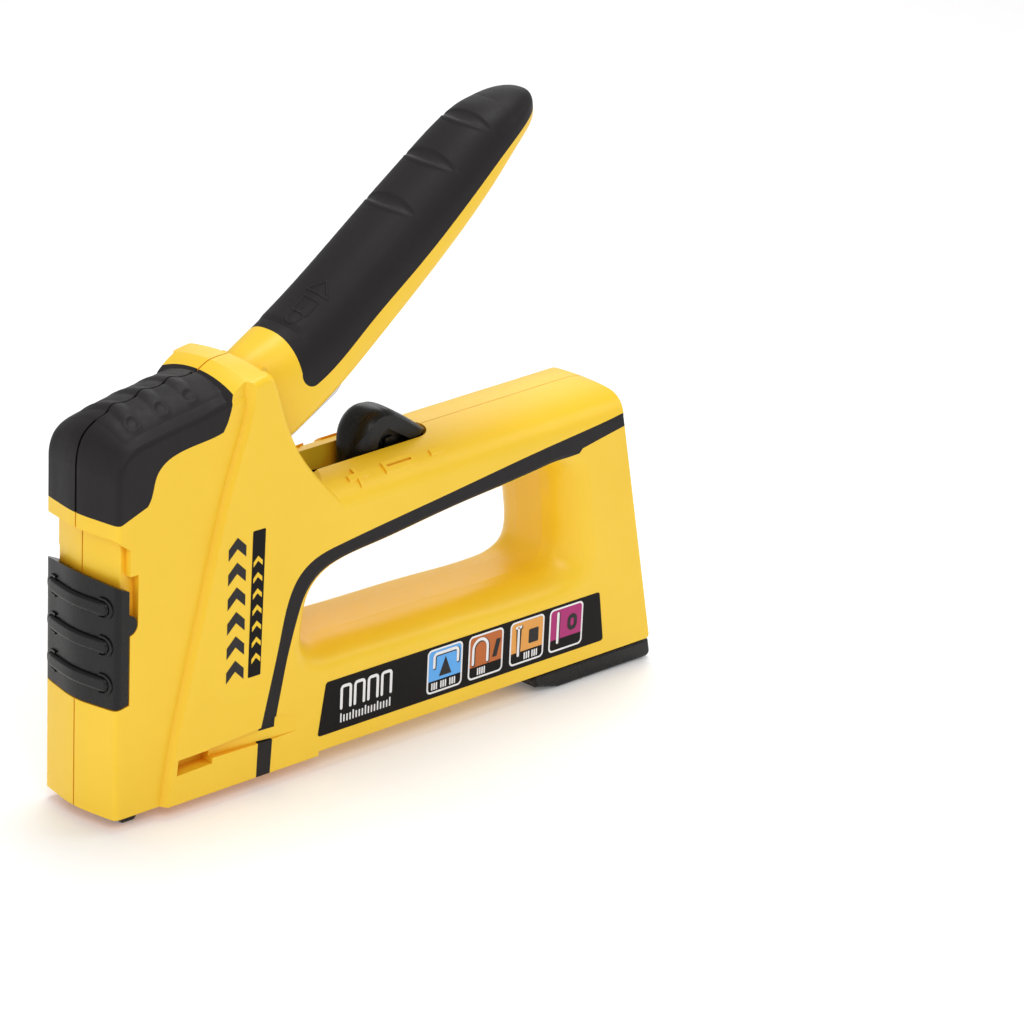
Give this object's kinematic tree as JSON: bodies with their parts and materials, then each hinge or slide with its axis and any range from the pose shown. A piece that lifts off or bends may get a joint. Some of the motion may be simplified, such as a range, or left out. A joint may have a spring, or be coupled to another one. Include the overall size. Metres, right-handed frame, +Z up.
{
  "type": "staple gun",
  "caption": "Hand staple gun: clamshell body with a finger opening, squeeze lever, spring striker, slide-out magazine, front slider and power adjuster.",
  "frame": {"origin": "middle of the nose's front lip on the work face, where staples leave", "axes": "+X from the nose to the heel, +Y to the right side, +Z up along the driver's travel"},
  "size_m": [0.1715, 0.0286, 0.1495],
  "materials": {
    "shell": "satin",
    "soft_rubber": "matte",
    "hard_black": "fine grain",
    "print": "printed film",
    "plate_steel": "zinc plated",
    "spring_steel": "drawn wire",
    "screw_steel": "zinc plated",
    "black_steel": "black oxide",
    "staple_wire": "galvanised"
  },
  "bodies": {
    "housing": {"housing_left": "shell", "housing_right": "shell", "cap_left": "soft_rubber", "cap_right": "soft_rubber", "stripe_left": "soft_rubber", "stripe_right": "soft_rubber", "label_left": "print", "label_right": "print", "badge_left": "print", "badge_right": "print", "housing_screws": "screw_steel", "nose_guide": "black_steel", "spring_cup": "plate_steel", "bumper": "soft_rubber", "pivot_pin": "plate_steel", "return_spring": "spring_steel", "main_spring": "spring_steel"},
    "lever": {"lever_core": "shell", "lever_grip": "soft_rubber", "lever_arms": "plate_steel", "lever_rivets": "plate_steel"},
    "striker": {"hammer": "plate_steel", "hammer_pin": "plate_steel", "driver_blade": "plate_steel", "blade_rivets": "plate_steel"},
    "slider": {"front_slider": "hard_black", "slider_gate": "plate_steel"},
    "adjuster": {"power_adjuster": "hard_black", "adjuster_bar": "plate_steel"},
    "drawer": {"magazine_rail": "plate_steel", "drawer_foot": "hard_black", "pusher_rod": "plate_steel", "pusher_spring": "spring_steel", "staple_strip": "staple_wire"},
    "pusher": {"pusher": "plate_steel"}
  },
  "joints": [
    {"name": "lever_hinge", "type": "hinge", "parent": "housing", "child": "lever", "pos_m": [0.0374, 0, 0.077], "axis": [0, 1, 0], "range_deg": [0, 28.8], "stiffness_Nm_per_rad": 1.5, "springref_deg": -11.46, "deforming": ["return_spring"]},
    {"name": "hammer_slide", "type": "slide", "parent": "housing", "child": "striker", "axis": [0, 0, 1], "range_m": [0, 0.0144], "deforming": ["main_spring"]},
    {"name": "front_slider_slide", "type": "slide", "parent": "housing", "child": "slider", "axis": [0, 0, 1], "range_m": [0, 0.008]},
    {"name": "adjuster_slide", "type": "slide", "parent": "housing", "child": "adjuster", "axis": [-1, 0, 0], "range_m": [0, 0.0085]},
    {"name": "drawer_slide", "type": "slide", "parent": "housing", "child": "drawer", "axis": [1, 0, 0], "range_m": [0, 0.075]},
    {"name": "pusher_slide", "type": "slide", "parent": "drawer", "child": "pusher", "axis": [1, 0, 0], "range_m": [0, 0.06], "stiffness_N_per_m": 25, "springref_m": -0.02, "deforming": ["pusher_spring"]}
  ],
  "couplings": [
    {"joint": "hammer_slide", "follows": "lever_hinge", "m_per_rad": 0.028607}
  ]
}
